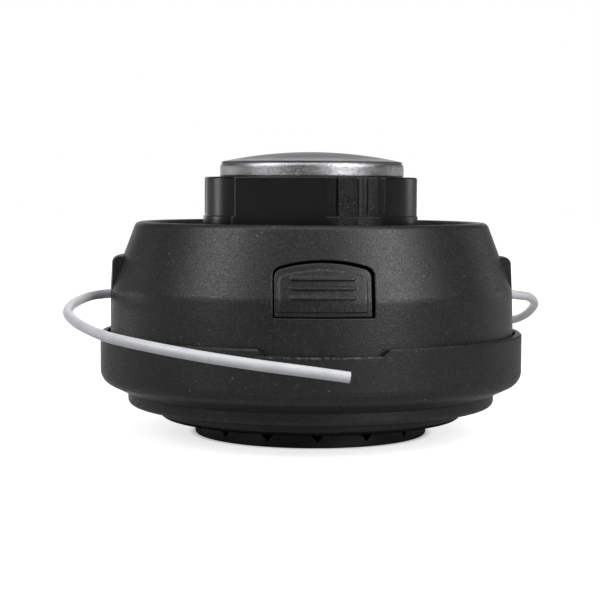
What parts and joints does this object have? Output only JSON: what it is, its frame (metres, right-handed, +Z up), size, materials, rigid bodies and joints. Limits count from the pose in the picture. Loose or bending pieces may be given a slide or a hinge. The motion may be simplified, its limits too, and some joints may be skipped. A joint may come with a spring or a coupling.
{
  "type": "bump feed trimmer head",
  "caption": "Round bump feed line trimmer head: stepped vented base, conical cover with two press tabs, ribbed knob with metal cap, line spool inside, two free line ends.",
  "frame": {"origin": "centre of the foot of the vent ring that the head stands on", "axes": "+Z up the drive axis towards the bump cap, -Y towards the front release tab, +X towards the right line exit"},
  "size_m": [0.1298, 0.1984, 0.0739],
  "materials": {
    "housing_nylon": "fine grained moulded nylon, matte",
    "cover_nylon": "fine grained moulded nylon, satin",
    "tab_nylon": "fine grained moulded nylon, matte",
    "spool_nylon": "moulded nylon",
    "knob_plastic": "smooth moulded nylon, half gloss",
    "cast_aluminium": "cast, side turned, crown ground smooth",
    "steel": "zinc plated",
    "spring_steel": "drawn wire, oiled",
    "trimmer_line": "milky clear nylon monofilament"
  },
  "bodies": {
    "housing": {"base_housing": "housing_nylon", "arbor_nut": "steel", "eyelet_left": "steel", "eyelet_right": "steel", "cover_shell": "cover_nylon", "tab_pin_front": "steel", "tab_pin_rear": "steel", "spring_seat_washer": "steel", "main_spring": "spring_steel", "line_left": "trimmer_line", "line_right": "trimmer_line"},
    "lift": {"lift_washer": "steel"},
    "spool_unit": {"spool": "spool_nylon", "spool_bush": "steel", "line_winding_lower": "trimmer_line", "line_winding_upper": "trimmer_line", "knob_body": "knob_plastic", "bump_cap": "cast_aluminium", "cap_screws": "steel"},
    "tab_front": {"release_tab_front": "tab_nylon", "tab_spring_front": "spring_steel"},
    "tab_rear": {"release_tab_rear": "tab_nylon", "tab_spring_rear": "spring_steel"}
  },
  "joints": [
    {"name": "bump_press", "type": "slide", "parent": "housing", "child": "lift", "axis": [0, 0, -1], "range_m": [0, 0.006], "stiffness_N_per_m": 2500, "springref_m": -0.004, "deforming": ["main_spring"]},
    {"name": "spool_turn", "type": "hinge", "parent": "lift", "child": "spool_unit", "pos_m": [0, 0, 0.037], "axis": [0, 0, 1], "range_deg": [0, 56]},
    {"name": "tab_front_press", "type": "hinge", "parent": "housing", "child": "tab_front", "pos_m": [0, -0.04658, 0.018], "axis": [-1, 0, 0], "range_deg": [0, 8], "stiffness_Nm_per_rad": 2, "springref_deg": -2.86},
    {"name": "tab_rear_press", "type": "hinge", "parent": "housing", "child": "tab_rear", "pos_m": [0, 0.04658, 0.018], "axis": [1, 0, 0], "range_deg": [0, 8], "stiffness_Nm_per_rad": 2, "springref_deg": -2.86}
  ]
}
